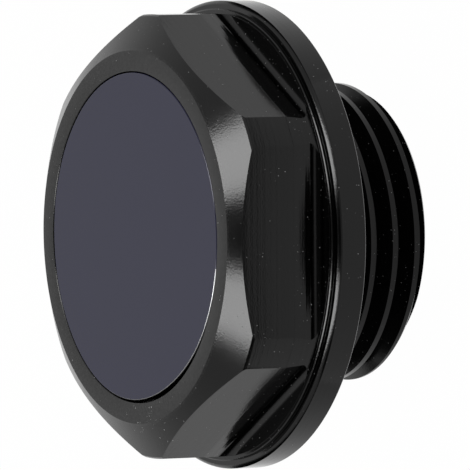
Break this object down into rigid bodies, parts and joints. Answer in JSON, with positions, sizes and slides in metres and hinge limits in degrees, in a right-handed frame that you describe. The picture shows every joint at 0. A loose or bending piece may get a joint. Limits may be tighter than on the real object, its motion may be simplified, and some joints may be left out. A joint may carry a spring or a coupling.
{
  "type": "screw-in oil filler cap",
  "caption": "Screw-in oil filler cap with a chamfered hexagonal head, a thin round flange, a short threaded spigot and a plain round plate let into its face.",
  "frame": {"origin": "on the cap's axis, in the plane of the spigot's end", "axes": "+Z along the axis, from the spigot's end to the face of the head; +X is 2.68 degrees off the normal of one flat of the hexagon"},
  "size_m": [0.0374, 0.0374, 0.0204],
  "materials": {
    "anodised": "black anodised, fine machining marks, semi-gloss",
    "plate": "dark blue-black satin, bare",
    "pad": "black adhesive foam",
    "seal": "black nitrile rubber"
  },
  "bodies": {
    "root": {"cap_body": "anodised", "inlay_disc": "plate", "adhesive_pad": "pad", "o_ring": "seal"}
  },
  "joints": []
}
